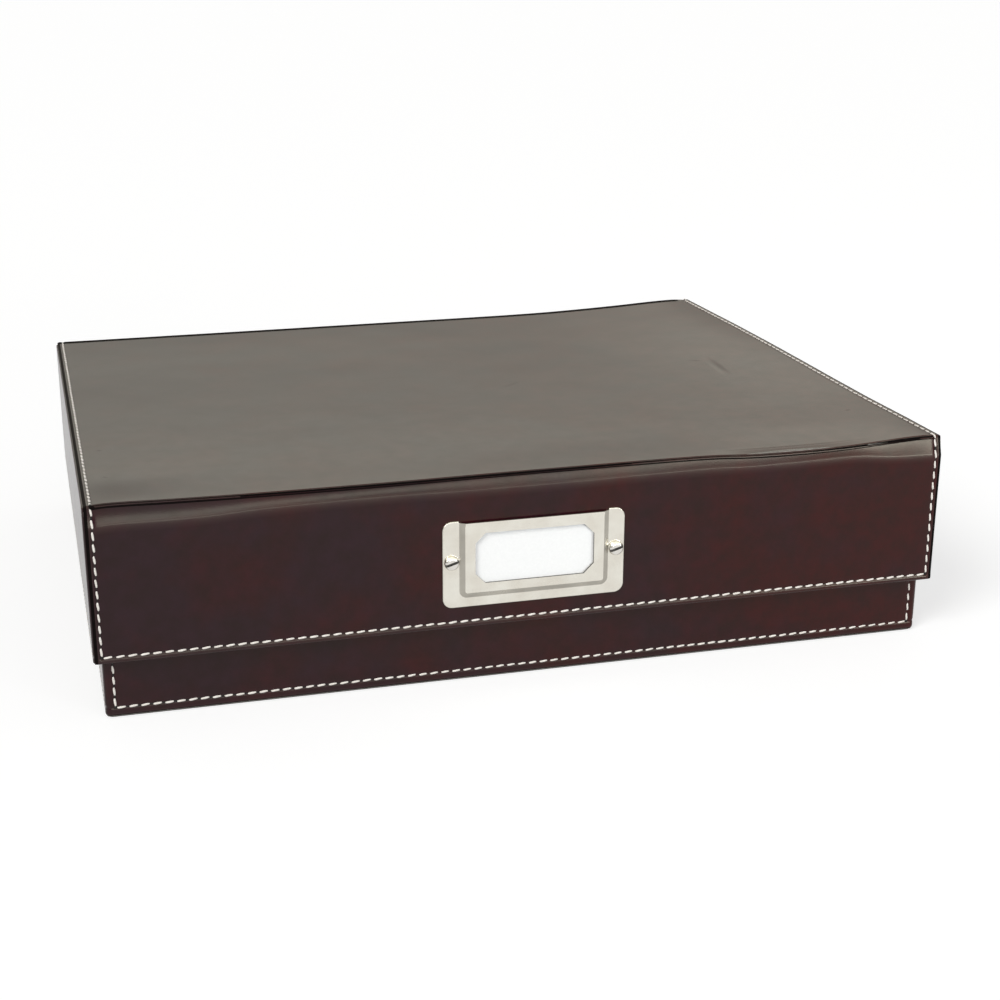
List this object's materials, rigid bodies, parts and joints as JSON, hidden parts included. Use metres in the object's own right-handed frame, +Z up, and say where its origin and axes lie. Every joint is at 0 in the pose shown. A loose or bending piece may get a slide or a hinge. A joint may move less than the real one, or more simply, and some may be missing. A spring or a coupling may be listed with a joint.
{
  "type": "file box",
  "caption": "Flat covered board box for papers, with a deep lift-off lid, contrast stitching and a metal card frame screwed to the lid's front.",
  "frame": {"origin": "middle of the underside of the closed box, on the surface that it stands on", "axes": "+X to the right along the front, the card frame faces -Y, +Z up along the way the lid lifts"},
  "size_m": [0.356, 0.2887, 0.0889],
  "materials": {
    "covering": "dark wine-brown coated faux leather, pressed smooth and glossy",
    "greyboard": "raw dense greyboard",
    "lining": "matt dark brown suede paper",
    "nickel": "satin nickel-plated pressed steel",
    "card": "plain white card"
  },
  "bodies": {
    "base": {"base_bottom_cover": "covering", "base_bottom_board": "greyboard", "base_front_board": "greyboard", "base_back_board": "greyboard", "base_left_board": "greyboard", "base_right_board": "greyboard", "base_front_cover": "covering", "base_back_cover": "covering", "base_left_cover": "covering", "base_right_cover": "covering", "base_floor_lining": "lining", "base_wall_lining": "lining"},
    "lid": {"lid_top_board": "greyboard", "lid_front_board": "greyboard", "lid_back_board": "greyboard", "lid_left_board": "greyboard", "lid_right_board": "greyboard", "lid_wrap_cover": "covering", "lid_left_cover": "covering", "lid_right_cover": "covering", "lid_ceiling_lining": "lining", "lid_wall_lining": "lining", "label_holder": "nickel", "label_screws": "nickel", "label_posts": "nickel"},
    "card": {"label_card": "card"}
  },
  "joints": [
    {"name": "lid_lift", "type": "slide", "parent": "base", "child": "lid", "axis": [0, 0, 1], "range_m": [0, 0.1]},
    {"name": "card_slide", "type": "slide", "parent": "lid", "child": "card", "axis": [0, 0, 1], "range_m": [0, 0.034]}
  ]
}
